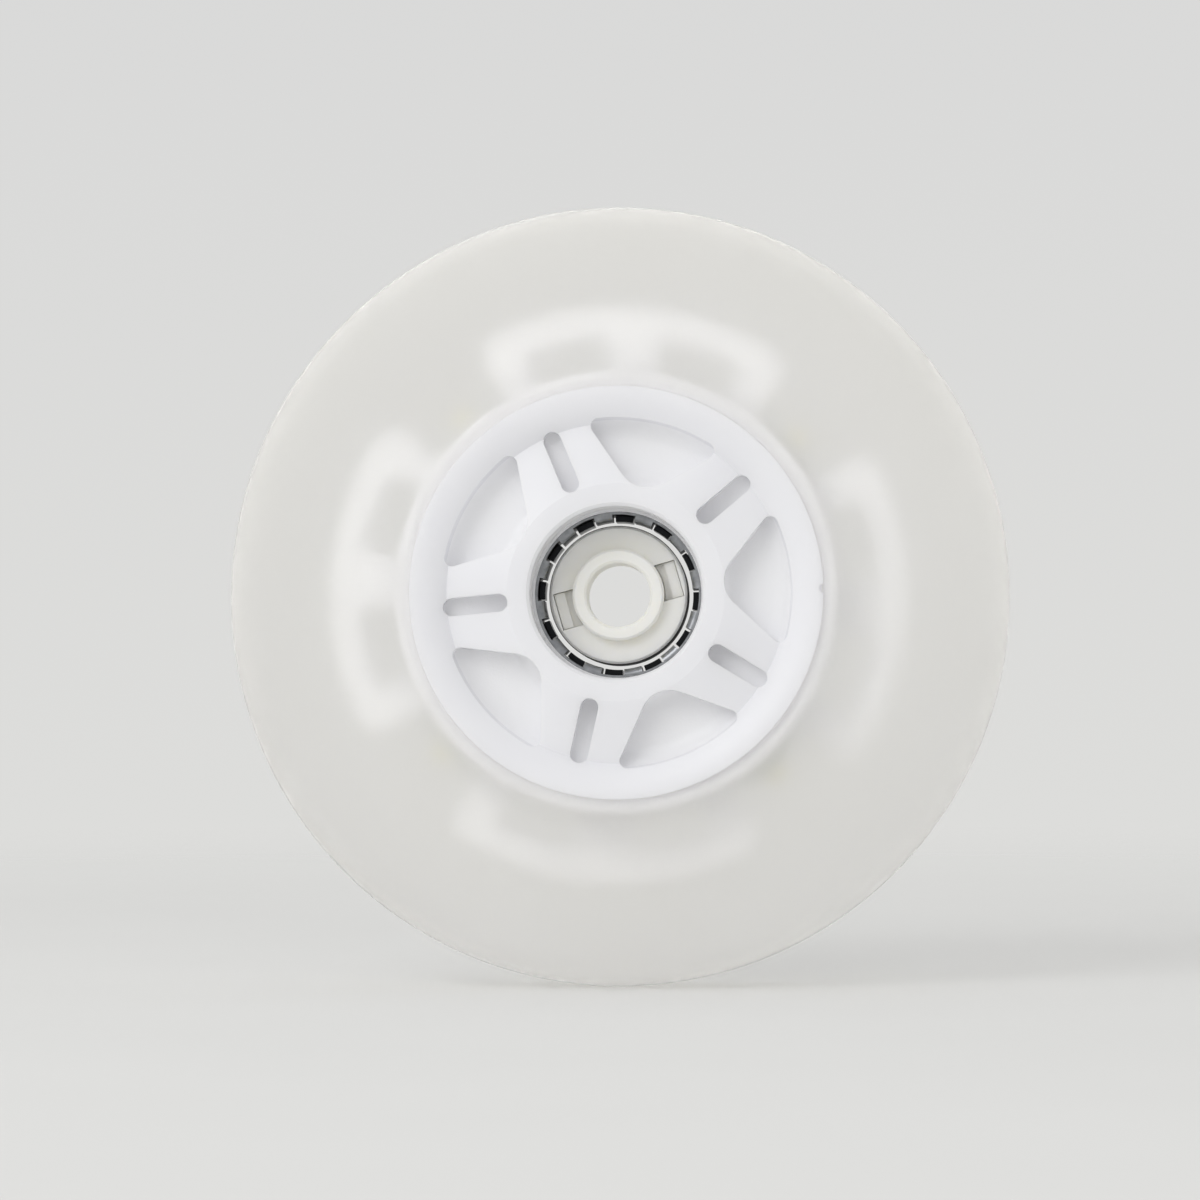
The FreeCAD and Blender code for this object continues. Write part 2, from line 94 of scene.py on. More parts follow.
class TyreSettings(bpy.types.PropertyGroup):
    """The clear cast tyre"""
    radius: FloatProperty(name="Radius", description="Outside radius of the tyre", default=WHEEL_RADIUS,
                          unit="LENGTH")
    half_width: FloatProperty(name="Half width", description="From the middle plane to a side",
                              default=HALF_WIDTH, unit="LENGTH")
    bond_radius: FloatProperty(name="Bond radius", description="Where the tyre grips the hub",
                               default=RIM_RADIUS, unit="LENGTH")
    meniscus: millimetres("Meniscus", "How far the poured material dips where it meets the hub", 0.12)
    meniscus_width: millimetres("Meniscus width", "How wide that dip is", 1.1)
    steps: IntProperty(name="Steps", description="Steps round the axis", default=256, min=48)
    tint: colour("Tint", "Colour of light that has passed through the material", "#F7F6F3")
    clearer_tint: colour("Clearer tint", "The same where the material is clearer", "#FAF9F7")
    cloudiness: FloatProperty(name="Cloudiness", description="Share of light that the haze scatters back",
                              default=0.07, min=0.0, max=1.0, subtype="FACTOR")
    frosting: FloatProperty(name="Frosting", description="Roughness of the moulded surface", default=0.75,
                            min=0.0, max=1.0, subtype="FACTOR")
    bending: FloatProperty(name="Bending", description="Index of refraction", default=1.25, min=1.0, max=2.0)
    shine: FloatProperty(name="Shine", description="How strongly the skin mirrors", default=0.05, min=0.0,
                         max=1.0, subtype="FACTOR")
    inner_light: colour("Inner light", "Share of the lamps' light that the haze lets in", "#404040")
    mark_spacing: millimetres("Mark spacing", "Distance between the fine rings left by the mould", 0.45)


class HubSettings(bpy.types.PropertyGroup):
    """The white hub and the ring inside the tyre"""
    white: colour("White", "Colour of the moulded plastic", "#F4F4F7")
    shade: colour("Shade", "The same plastic where it flowed last", "#EEEEF2")
    # Painted light: a brighter white for faces deep under the front, such as the pocket floors and the ring
    # in the tyre, standing in for light that does not reach into them
    eroded_and_painted_light: colour("Eroded", "The same plastic under the eroded texture of the pocket floors", "#FCFCFF")
    roughness: FloatProperty(name="Roughness", description="Of the plain moulded faces", default=0.42,
                             min=0.0, max=1.0, subtype="FACTOR")
    grain: millimetres("Grain", "Grain of the eroded texture on the pocket floors", 0.35)
    translucence: FloatProperty(name="Translucence", description="Share of light that goes into the plastic",
                                default=0.6, min=0.0, max=1.0, subtype="FACTOR")
    light_depth: millimetres("Light depth", "How far light spreads inside the plastic", 3.0)
    # Faces deeper than this also take the brighter white of the painted light
    texture_and_painted_light_depth: millimetres("Texture depth", "Faces deeper than this under the front carry the texture",
                               3.0)


class SteelSettings(bpy.types.PropertyGroup):
    """The plated pole plates"""
    bright: colour("Bright", "Colour of the fresh zinc", "#B4B6BA")
    dull: colour("Dull", "Colour where the zinc has dulled", "#646668")
    # Painted shade: near black for the faces deep between the plates, where shade falls
    painted_shade_between_plates: colour("Bare", "Colour between the plates, where the plating did not reach", "#242527")
    # Depth under the plates' outer faces past which the painted shade begins
    painted_shade_start: millimetres("Plated depth", "How deep under the plates' outer faces the plating reaches",
                              1.0)
    roughness: FloatProperty(name="Roughness", description="Of the plating", default=0.28, min=0.0, max=1.0,
                             subtype="FACTOR")
    spangle: millimetres("Spangle", "Size of the patches in the plating", 0.9)


class SleeveSettings(bpy.types.PropertyGroup):
    """The sleeve and the magnet that it carries"""
    cream: colour("Cream", "Colour of the moulded nylon", "#FBFAF5")
    warm: colour("Warm", "The same nylon, slightly yellowed", "#F8F6EC")
    ferrite: colour("Ferrite", "Colour of the magnet", "#2E2C2A")
    grit: millimetres("Grit", "Grain of the sintered magnet", 0.12)


class StageSettings(bpy.types.PropertyGroup):
    """Camera, floor and lights"""
    distance: FloatProperty(name="Distance", description="From the camera to the wheel's centre",
                            default=0.80, unit="LENGTH")
    to_the_right: FloatProperty(name="To the right", description="Camera's angle to the right of the axis",
                                default=math.radians(2.3), subtype="ANGLE")
    below: FloatProperty(name="Below", description="Camera's angle below the axis",
                         default=math.radians(2.4), subtype="ANGLE")
    frame_width: FloatProperty(name="Frame width", description="Width of the picture at the wheel",
                               default=0.154, unit="LENGTH")
    aim_left: millimetres("Aim left", "How far left of the wheel's centre the camera aims", 2.53)
    aim_low: millimetres("Aim low", "How far below the wheel's centre the camera aims", 0.48)
    lean: FloatProperty(name="Lean", description="How far the wheel leans back from the floor's upright",
                        default=math.radians(2.5), subtype="ANGLE")
    floor_radius: FloatProperty(name="Floor radius", description="How far the floor reaches",
                                default=0.8, unit="LENGTH")
    fade_start: FloatProperty(name="Fade start", description="Where the floor starts to fade",
                              default=0.10, unit="LENGTH")
    fade_end: FloatProperty(name="Fade end", description="Where the floor has faded out",
                            default=0.55, unit="LENGTH")
    floor: colour("Floor", "Colour of the floor", "#F1F1EF")
    floor_shade: colour("Floor shade", "Colour of the floor's darker patches", "#EBEBE9")
    key_power: FloatProperty(name="Key", description="Power of the square lamp at the upper left",
                             default=4.4, unit="POWER")
    key_size: FloatProperty(name="Key size", description="Side of that lamp", default=0.7, unit="LENGTH")
    fill_power: FloatProperty(name="Fill", description="Power of the lamp that lights the ring in the tyre",
                              default=15.0, unit="POWER")
    horizon: colour("Horizon", "Colour of the wall behind, low down", "#DDDDDB")
    overhead: colour("Overhead", "Colour of the wall behind, higher up", "#D8D8D8")
    ceiling: FloatProperty(name="Ceiling", description="How much brighter it is straight up", default=1.05)
    one_sided: FloatProperty(name="One-sided", default=0.2, min=0.0, max=1.0, subtype="FACTOR",
                             description="How much brighter the room is to the left, behind the camera")


class WheelSettings(bpy.types.PropertyGroup):
    """Everything that a user would change on the wheel"""
    tyre: PointerProperty(type=TyreSettings, name="Tyre", description="The clear cast tyre")
    hub: PointerProperty(type=HubSettings, name="Hub", description="The white hub")
    steel: PointerProperty(type=SteelSettings, name="Steel", description="The plated pole plates")
    sleeve: PointerProperty(type=SleeveSettings, name="Sleeve", description="The magnet sleeve")
    stage: PointerProperty(type=StageSettings, name="Stage", description="Camera, floor and lights")


# ---------------------------------------------------------------- materials

# Sockets of the Mix node when it mixes colours
FACTOR, FIRST, SECOND, MIXED = 0, 6, 7, 2


def linear(hex_colour):
    """An sRGB hex value as linear red, green, blue and alpha."""
    channels = [int(hex_colour[start:start + 2], 16) / 255 for start in (1, 3, 5)]
    return tuple(c / 12.92 if c <= 0.04045 else ((c + 0.055) / 1.055) ** 2.4 for c in channels) + (1.0,)


def add_node(material, kind, inputs=None, **settings):
    """Adds a node to a material or a world. Each input is set to a value, or linked to an output socket."""
    made = material.node_tree.nodes.new(kind)
    for name, value in settings.items():
        setattr(made, name, value)
    for name, value in (inputs or {}).items():
        if isinstance(value, bpy.types.NodeSocket):
            material.node_tree.links.new(value, made.inputs[name])
        else:
            made.inputs[name].default_value = value
    return made


def new_material(name):
    """A node material without nodes."""
    material = bpy.data.materials.new(name)
    material.use_nodes = True
    material.node_tree.nodes.clear()
    return material


def cast_polyurethane(tyre):
    """Cast polyurethane from a polished mould: clear but milky, with a satin skin that blurs the inside."""
    ring_height, worn_patch, cloud_size = 0.01 * MM, 9 * MM, 14 * MM
    material = new_material("cast_polyurethane_cloudy")
    where = add_node(material, "ShaderNodeTexCoord").outputs["Object"]
    # Fine rings left by the turned mould, stronger in some patches than in others
    flat = add_node(material, "ShaderNodeVectorMath", {0: where, 1: (1, 0, 1)}, operation="MULTIPLY")
    out = add_node(material, "ShaderNodeVectorMath", {0: flat.outputs["Vector"]}, operation="LENGTH")
    rings = add_node(material, "ShaderNodeMath",
                     {0: out.outputs["Value"], 1: 2 * math.pi / tyre.mark_spacing}, operation="MULTIPLY")
    wave = add_node(material, "ShaderNodeMath", {0: rings.outputs[0]}, operation="SINE")
    worn = add_node(material, "ShaderNodeTexNoise", {"Vector": where, "Scale": 1 / worn_patch})
    ripple = add_node(material, "ShaderNodeMath", {0: worn.outputs["Fac"], 1: wave.outputs[0]},
                      operation="MULTIPLY")
    bump = add_node(material, "ShaderNodeBump",
                    {"Height": ripple.outputs[0], "Strength": 0.12, "Distance": ring_height})
    cloud = add_node(material, "ShaderNodeTexNoise", {"Vector": where, "Scale": 1 / cloud_size})
    tone = add_node(material, "ShaderNodeMix", {
        FACTOR: cloud.outputs["Fac"], FIRST: linear(tyre.tint), SECOND: linear(tyre.clearer_tint)},
        data_type="RGBA")
    shader = add_node(material, "ShaderNodeBsdfPrincipled", {
        "Base Color": tone.outputs[MIXED], "Transmission Weight": 1 - tyre.cloudiness,
        "Roughness": tyre.frosting, "IOR": tyre.bending, "Specular IOR Level": tyre.shine,
        "Normal": bump.outputs["Normal"]})
    # Lamps light the inside straight through the haze, without focused spots
    lamp_light = add_node(material, "ShaderNodeBsdfTransparent", {"Color": linear(tyre.inner_light)})
    is_lamp_ray = add_node(material, "ShaderNodeLightPath").outputs["Is Shadow Ray"]
    skin = add_node(material, "ShaderNodeMixShader",
                    {0: is_lamp_ray, 1: shader.outputs[0], 2: lamp_light.outputs[0]})
    add_node(material, "ShaderNodeOutputMaterial", {"Surface": skin.outputs[0]})
    return material


def moulded_polypropylene(hub):
    """White polypropylene moulding: satin faces, with an eroded texture on the floors of the pockets. All
    faces deep under the front are painted a brighter white, as painted light for what the recesses do not
    get.
    """
    skin_grain, handled_patch, flow_size = 0.12 * MM, 4 * MM, 12 * MM
    skin_share, grain_height, gloss_spread = 0.15, 0.05 * MM, 0.05
    material = new_material("moulded_polypropylene_white")
    where = add_node(material, "ShaderNodeTexCoord").outputs["Object"]
    along = add_node(material, "ShaderNodeSeparateXYZ", {0: where}).outputs["Y"]
    off_middle = add_node(material, "ShaderNodeMath", {0: along}, operation="ABSOLUTE")
    is_deep = add_node(material, "ShaderNodeMath",
                       {0: off_middle.outputs[0], 1: HALF_WIDTH - hub.texture_and_painted_light_depth}, operation="LESS_THAN")
    eroded_and_painted_light = add_node(material, "ShaderNodeTexNoise",
                      {"Vector": where, "Scale": 1 / hub.grain, "Detail": 3.0})
    grain = add_node(material, "ShaderNodeMath", {0: eroded_and_painted_light.outputs["Fac"], 1: is_deep.outputs[0]},
                     operation="MULTIPLY")
    skin = add_node(material, "ShaderNodeTexNoise", {"Vector": where, "Scale": 1 / skin_grain})
    height = add_node(material, "ShaderNodeMath",
                      {0: skin.outputs["Fac"], 1: skin_share, 2: grain.outputs[0]},
                      operation="MULTIPLY_ADD")
    bump = add_node(material, "ShaderNodeBump",
                    {"Height": height.outputs[0], "Strength": 0.5, "Distance": grain_height})
    handled = add_node(material, "ShaderNodeTexNoise", {"Vector": where, "Scale": 1 / handled_patch})
    gloss = add_node(material, "ShaderNodeMapRange", {
        "Value": handled.outputs["Fac"], "To Min": hub.roughness - gloss_spread,
        "To Max": hub.roughness + gloss_spread})
    flow = add_node(material, "ShaderNodeTexNoise", {"Vector": where, "Scale": 1 / flow_size})
    tone = add_node(material, "ShaderNodeMix", {
        FACTOR: flow.outputs["Fac"], FIRST: linear(hub.shade), SECOND: linear(hub.white)},
        data_type="RGBA")
    # Painted light: faces deep under the front take the brighter white, in place of light that does not
    # reach into the recesses
    all_tones = add_node(material, "ShaderNodeMix", {
        FACTOR: is_deep.outputs[0], FIRST: tone.outputs[MIXED], SECOND: linear(hub.eroded_and_painted_light)},
        data_type="RGBA")
    shader = add_node(material, "ShaderNodeBsdfPrincipled", {
        "Base Color": all_tones.outputs[MIXED], "Roughness": gloss.outputs[0], "IOR": 1.49,
        "Normal": bump.outputs["Normal"], "Subsurface Weight": hub.translucence,
        "Subsurface Radius": (1.0, 1.0, 1.0), "Subsurface Scale": hub.light_depth})
    add_node(material, "ShaderNodeOutputMaterial", {"Surface": shader.outputs[0]})
    return material


def zinc_plated_steel(steel):
    """Pressed steel with bright zinc plating: mirror-like, with duller patches and fine drawing lines. Faces
    deep between the plates are painted near black as painted shade.
    """
    line_spacing, line_height, fade = 0.15 * MM, 0.01 * MM, 0.6 * MM
    smoother, rougher, stretch = 0.06, 0.14, 0.12
    material = new_material("zinc_plated_steel_bright")
    where = add_node(material, "ShaderNodeTexCoord").outputs["Object"]
    spangle = add_node(material, "ShaderNodeTexNoise",
                       {"Vector": where, "Scale": 1 / steel.spangle, "Detail": 4.0})
    drawn = add_node(material, "ShaderNodeMapping", {"Vector": where, "Scale": (1.0, stretch, 1.0)})
    lines = add_node(material, "ShaderNodeTexNoise", {"Vector": drawn.outputs[0], "Scale": 1 / line_spacing})
    bump = add_node(material, "ShaderNodeBump",
                    {"Height": lines.outputs["Fac"], "Strength": 0.25, "Distance": line_height})
    gloss = add_node(material, "ShaderNodeMapRange", {
        "Value": spangle.outputs["Fac"], "To Min": steel.roughness - smoother,
        "To Max": steel.roughness + rougher})
    tone = add_node(material, "ShaderNodeMix", {
        FACTOR: spangle.outputs["Fac"], FIRST: linear(steel.dull), SECOND: linear(steel.bright)},
        data_type="RGBA")
    along = add_node(material, "ShaderNodeSeparateXYZ", {0: where}).outputs["Y"]
    off_middle = add_node(material, "ShaderNodeMath", {0: along}, operation="ABSOLUTE")
    # Painted shade: faces deeper than this between the plates fade to near black
    plated = add_node(material, "ShaderNodeMapRange", {
        "Value": off_middle.outputs[0], "From Min": POLE_FACE - steel.painted_shade_start - fade,
        "From Max": POLE_FACE - steel.painted_shade_start})
    all_tones = add_node(material, "ShaderNodeMix", {
        FACTOR: plated.outputs[0], FIRST: linear(steel.painted_shade_between_plates), SECOND: tone.outputs[MIXED]},
        data_type="RGBA")
    shader = add_node(material, "ShaderNodeBsdfPrincipled", {
        "Base Color": all_tones.outputs[MIXED], "Metallic": 1.0, "Roughness": gloss.outputs[0],
        "Normal": bump.outputs["Normal"]})
    add_node(material, "ShaderNodeOutputMaterial", {"Surface": shader.outputs[0]})
    return material


def moulded_nylon(sleeve):
    """Natural nylon moulding: cream, matt, slightly yellow in patches."""
    grain_size, grain_height, aged_patch, light_depth = 0.15 * MM, 0.02 * MM, 5 * MM, 2.0 * MM
    material = new_material("moulded_nylon_natural")
    where = add_node(material, "ShaderNodeTexCoord").outputs["Object"]
    grain = add_node(material, "ShaderNodeTexNoise",
                     {"Vector": where, "Scale": 1 / grain_size, "Detail": 3.0})
    bump = add_node(material, "ShaderNodeBump",
                    {"Height": grain.outputs["Fac"], "Strength": 0.3, "Distance": grain_height})
    aged = add_node(material, "ShaderNodeTexNoise", {"Vector": where, "Scale": 1 / aged_patch})
    tone = add_node(material, "ShaderNodeMix", {
        FACTOR: aged.outputs["Fac"], FIRST: linear(sleeve.warm), SECOND: linear(sleeve.cream)},
        data_type="RGBA")
    shader = add_node(material, "ShaderNodeBsdfPrincipled", {
        "Base Color": tone.outputs[MIXED], "Roughness": 0.5, "IOR": 1.53, "Normal": bump.outputs["Normal"],
        "Subsurface Weight": 0.5, "Subsurface Radius": (1.0, 0.95, 0.8), "Subsurface Scale": light_depth})
    add_node(material, "ShaderNodeOutputMaterial", {"Surface": shader.outputs[0]})
    return material


def sintered_ferrite(sleeve):
    """Sintered ferrite: charcoal grey, dull, with a fine grit that catches the light."""
    grit_height = 0.02 * MM
    material = new_material("sintered_ferrite")
    where = add_node(material, "ShaderNodeTexCoord").outputs["Object"]
    grit = add_node(material, "ShaderNodeTexNoise",
                    {"Vector": where, "Scale": 1 / sleeve.grit, "Detail": 4.0})
    bump = add_node(material, "ShaderNodeBump",
                    {"Height": grit.outputs["Fac"], "Strength": 0.5, "Distance": grit_height})
    tone = add_node(material, "ShaderNodeMix", {
        FACTOR: grit.outputs["Fac"], FIRST: linear(sleeve.ferrite), SECOND: linear("#454340")},
        data_type="RGBA")
    shader = add_node(material, "ShaderNodeBsdfPrincipled", {
        "Base Color": tone.outputs[MIXED], "Roughness": 0.55, "Normal": bump.outputs["Normal"]})
    add_node(material, "ShaderNodeOutputMaterial", {"Surface": shader.outputs[0]})
    return material


def black_nylon():
    """Black moulded nylon: a dull skin with a faint grain."""
    grain_size, grain_height = 0.2 * MM, 0.02 * MM
    material = new_material("moulded_nylon_black")
    where = add_node(material, "ShaderNodeTexCoord").outputs["Object"]
    grain = add_node(material, "ShaderNodeTexNoise",
                     {"Vector": where, "Scale": 1 / grain_size, "Detail": 3.0})
    bump = add_node(material, "ShaderNodeBump",
                    {"Height": grain.outputs["Fac"], "Strength": 0.3, "Distance": grain_height})
    tone = add_node(material, "ShaderNodeMix", {
        FACTOR: grain.outputs["Fac"], FIRST: linear("#171718"), SECOND: linear("#262627")},
        data_type="RGBA")
    shader = add_node(material, "ShaderNodeBsdfPrincipled", {
        "Base Color": tone.outputs[MIXED], "Roughness": 0.5, "Normal": bump.outputs["Normal"]})
    add_node(material, "ShaderNodeOutputMaterial", {"Surface": shader.outputs[0]})
    return material


def enamelled_copper():
    """Enamelled copper wire wound in layers: red-brown, ridged and glossy under its varnish."""
    # The turns are drawn coarser than those of the real, much thinner wire, so that they show
    turn_width, turn_height, heated_patch = 0.3 * MM, 0.1 * MM, 2 * MM
    material = new_material("enamelled_copper_winding")
    where = add_node(material, "ShaderNodeTexCoord").outputs["Object"]
    along = add_node(material, "ShaderNodeSeparateXYZ", {0: where}).outputs["Y"]
    turns = add_node(material, "ShaderNodeMath", {0: along, 1: math.pi / turn_width}, operation="MULTIPLY")
    wave = add_node(material, "ShaderNodeMath", {0: turns.outputs[0]}, operation="SINE")
    ridges = add_node(material, "ShaderNodeMath", {0: wave.outputs[0]}, operation="ABSOLUTE")
    bump = add_node(material, "ShaderNodeBump",
                    {"Height": ridges.outputs[0], "Strength": 1.0, "Distance": turn_height})
    heated = add_node(material, "ShaderNodeTexNoise", {"Vector": where, "Scale": 1 / heated_patch})
    tone = add_node(material, "ShaderNodeMix", {
        FACTOR: heated.outputs["Fac"], FIRST: linear("#A04E26"), SECOND: linear("#CC7140")},
        data_type="RGBA")
    shader = add_node(material, "ShaderNodeBsdfPrincipled", {
        "Base Color": tone.outputs[MIXED], "Metallic": 1.0, "Roughness": 0.3, "Coat Weight": 0.6,
        "Normal": bump.outputs["Normal"]})
    add_node(material, "ShaderNodeOutputMaterial", {"Surface": shader.outputs[0]})
    return material


def tinned_brass():
    """Tinned brass pins: soft grey metal, slightly uneven from dipping."""
    dipped_patch = 0.8 * MM
    material = new_material("tinned_brass")
    where = add_node(material, "ShaderNodeTexCoord").outputs["Object"]
    dipped = add_node(material, "ShaderNodeTexNoise", {"Vector": where, "Scale": 1 / dipped_patch})
    tone = add_node(material, "ShaderNodeMix", {
        FACTOR: dipped.outputs["Fac"], FIRST: linear("#B0ADA3"), SECOND: linear("#DAD7CE")},
        data_type="RGBA")
    gloss = add_node(material, "ShaderNodeMapRange", {
        "Value": dipped.outputs["Fac"], "To Min": 0.28, "To Max": 0.42})
    shader = add_node(material, "ShaderNodeBsdfPrincipled", {
        "Base Color": tone.outputs[MIXED], "Metallic": 1.0, "Roughness": gloss.outputs[0]})
    add_node(material, "ShaderNodeOutputMaterial", {"Surface": shader.outputs[0]})
    return material


def silicone_insulation():
    """White silicone wire insulation: soft, slightly dusty."""
    dust_patch = 3 * MM
    material = new_material("silicone_insulation_white")
    where = add_node(material, "ShaderNodeTexCoord").outputs["Object"]
    dust = add_node(material, "ShaderNodeTexNoise", {"Vector": where, "Scale": 1 / dust_patch})
    tone = add_node(material, "ShaderNodeMix", {
        FACTOR: dust.outputs["Fac"], FIRST: linear("#E0E0DC"), SECOND: linear("#F4F4F0")},
        data_type="RGBA")
    gloss = add_node(material, "ShaderNodeMapRange", {
        "Value": dust.outputs["Fac"], "To Min": 0.65, "To Max": 0.45})
    shader = add_node(material, "ShaderNodeBsdfPrincipled", {
        "Base Color": tone.outputs[MIXED], "Roughness": gloss.outputs[0]})
    add_node(material, "ShaderNodeOutputMaterial", {"Surface": shader.outputs[0]})
    return material


def solder_mask():
    """White solder mask on a fibreglass board, with the weave just showing."""
    thread_width, thread_height, printed_patch = 0.5 * MM, 0.02 * MM, 1.5 * MM
    material = new_material("fibreglass_board_white")
    where = add_node(material, "ShaderNodeTexCoord").outputs["Object"]
    weave = add_node(material, "ShaderNodeTexChecker", {"Vector": where, "Scale": 1 / thread_width})
    bump = add_node(material, "ShaderNodeBump",
                    {"Height": weave.outputs["Fac"], "Strength": 0.2, "Distance": thread_height})
    printed = add_node(material, "ShaderNodeTexNoise", {"Vector": where, "Scale": 1 / printed_patch})
    tone = add_node(material, "ShaderNodeMix", {
        FACTOR: printed.outputs["Fac"], FIRST: linear("#E2E4E2"), SECOND: linear("#F4F5F3")},
        data_type="RGBA")
    shader = add_node(material, "ShaderNodeBsdfPrincipled", {
        "Base Color": tone.outputs[MIXED], "Roughness": 0.35, "Normal": bump.outputs["Normal"]})
    add_node(material, "ShaderNodeOutputMaterial", {"Surface": shader.outputs[0]})
    return material


def lamp_resin():
    """A white lamp case, and beyond it the lens: clear resin, glossy, over pale yellow phosphor."""
    blend, scuff_size = 0.1 * MM, 0.4 * MM
    material = new_material("lamp_resin_and_case")
    where = add_node(material, "ShaderNodeTexCoord").outputs["Object"]
    flat = add_node(material, "ShaderNodeVectorMath", {0: where, 1: (1, 0, 1)}, operation="MULTIPLY")
    out = add_node(material, "ShaderNodeVectorMath", {0: flat.outputs["Vector"]}, operation="LENGTH")
    lens = add_node(material, "ShaderNodeMapRange", {
        "Value": out.outputs["Value"], "From Min": LENS_START - blend, "From Max": LENS_START + blend})
    tone = add_node(material, "ShaderNodeMix", {
        FACTOR: lens.outputs[0], FIRST: linear("#F2F2EE"), SECOND: linear("#F3EDCB")}, data_type="RGBA")
    scuffed = add_node(material, "ShaderNodeTexNoise", {"Vector": where, "Scale": 1 / scuff_size})
    gloss = add_node(material, "ShaderNodeMapRange", {
        "Value": scuffed.outputs["Fac"], "To Min": 0.18, "To Max": 0.34})
    shader = add_node(material, "ShaderNodeBsdfPrincipled", {
        "Base Color": tone.outputs[MIXED], "Roughness": gloss.outputs[0], "Coat Weight": 0.5})
    add_node(material, "ShaderNodeOutputMaterial", {"Surface": shader.outputs[0]})
    return material


def paper(stage):
    """Matt white paper with a faint mottling from its fibres. It fades out towards its edge."""
    mottle_size = 0.12    # in metres, as coarse as it needs to show on a pale floor
    material = new_material("paper_matt")
    where = add_node(material, "ShaderNodeTexCoord").outputs["Object"]
    fibres = add_node(material, "ShaderNodeTexNoise", {"Vector": where, "Scale": 1 / mottle_size})
    tone = add_node(material, "ShaderNodeMix", {
        FACTOR: fibres.outputs["Fac"], FIRST: linear(stage.floor_shade), SECOND: linear(stage.floor)},
        data_type="RGBA")
    sheet = add_node(material, "ShaderNodeBsdfDiffuse", {"Color": tone.outputs[MIXED]})
    distance = add_node(material, "ShaderNodeVectorMath", {0: where}, operation="LENGTH")
    fade = add_node(material, "ShaderNodeMapRange", {
        "Value": distance.outputs["Value"], "From Min": stage.fade_start, "From Max": stage.fade_end},
        interpolation_type="SMOOTHSTEP")
    nothing = add_node(material, "ShaderNodeBsdfTransparent")
    faded = add_node(material, "ShaderNodeMixShader",
                     {0: fade.outputs[0], 1: sheet.outputs[0], 2: nothing.outputs[0]})
    add_node(material, "ShaderNodeOutputMaterial", {"Surface": faded.outputs[0]})
    return material


def dress(material, *names):
    """Gives CAD nodes a material."""
    for name in names:
        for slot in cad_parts[name].material_slots:
            slot.material = material


# ---------------------------------------------------------------- pieces

def spun(points, steps):
    """A bmesh of (radius, y) points joined in a closed loop and spun about the wheel's axis."""
    shape = bmesh.new()
    corners = [shape.verts.new((radius, along, 0)) for radius, along in points]
    edges = [shape.edges.new((corners[i - 1], corners[i])) for i in range(len(corners))]
    bmesh.ops.spin(shape, geom=corners + edges, cent=(0, 0, 0), axis=(0, 1, 0), dvec=(0, 0, 0),
                   angle=2 * math.pi, steps=steps, use_merge=True)
    bmesh.ops.remove_doubles(shape, verts=shape.verts, dist=1e-7)
    bmesh.ops.recalc_face_normals(shape, faces=shape.faces)
    return shape


def add_piece(name, shape, material, body):
    """Turns a bmesh into a smooth piece of the object that rides on a body."""
    mesh = bpy.data.meshes.new(name)
    for face in shape.faces:
        face.smooth = True
    shape.to_mesh(mesh)
    shape.free()
    mesh.materials.append(material)
    piece = bpy.data.objects.new(name, mesh)
    bpy.context.scene.collection.objects.link(piece)
    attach(piece, body)
    return piece


class CastTyre(bpy.types.Operator):
    """Casts the clear tyre round the hub, with flat sides and a full-round tread"""
    bl_idname = "caster_wheel.cast_tyre"
    bl_label = "Cast tyre"

    def execute(self, context):
        tyre = context.scene.caster_wheel.tyre
        round_start = tyre.radius - tyre.half_width
        tread_steps, dip_steps = 48, 4
        tuck, tuck_depth = 0.2 * MM, 0.5 * MM
        # (radius, depth under the tyre's side), from a tuck hidden in the hub's rim outwards
        side = [(tyre.bond_radius - tuck, tuck_depth)]
        for step in range(dip_steps + 1):
            share = step / dip_steps
            side.append((tyre.bond_radius + share * tyre.meniscus_width,
                         tyre.meniscus * (1 - share) ** 2))
        flat_shares = (0.3, 0.5, 0.7, 0.9)
        side += [(tyre.bond_radius + (round_start - tyre.bond_radius) * share, 0.0)
                 for share in flat_shares]
        tread = []
        for step in range(tread_steps + 1):
            angle = math.pi * step / tread_steps
            tread.append((round_start + tyre.half_width * math.sin(angle),
                          -tyre.half_width * math.cos(angle)))
        outline = [(radius, depth - tyre.half_width) for radius, depth in side]
        outline += tread
        outline += [(radius, tyre.half_width - depth) for radius, depth in reversed(side)]
        piece = add_piece("cast_tyre", spun(outline, tyre.steps), cast_polyurethane(tyre),
                          "wheel")
        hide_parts("tyre")
        return {"FINISHED"}


class FinishHub(bpy.types.Operator):
    """Gives the hub halves and the anchor ring their moulded plastic"""
    bl_idname = "caster_wheel.finish_hub"
    bl_label = "Finish hub"

    def execute(self, context):
        dress(moulded_polypropylene(context.scene.caster_wheel.hub),
              "hub_front_half", "hub_rear_half", "anchor_ring")
        return {"FINISHED"}


class PlatePoles(bpy.types.Operator):
    """Plates the two pole plates with bright zinc"""
    bl_idname = "caster_wheel.plate_poles"
    bl_label = "Plate poles"

    def execute(self, context):
        dress(zinc_plated_steel(context.scene.caster_wheel.steel), "pole_front", "pole_rear")
        return {"FINISHED"}


class FinishSleeve(bpy.types.Operator):
    """Gives the sleeve halves their nylon and the magnet its ferrite"""
    bl_idname = "caster_wheel.finish_sleeve"
    bl_label = "Finish sleeve"

    def execute(self, context):
        sleeve = context.scene.caster_wheel.sleeve
        dress(moulded_nylon(sleeve), "sleeve_front_half", "sleeve_rear_half")
        dress(sintered_ferrite(sleeve), "magnet_ring")
        return {"FINISHED"}


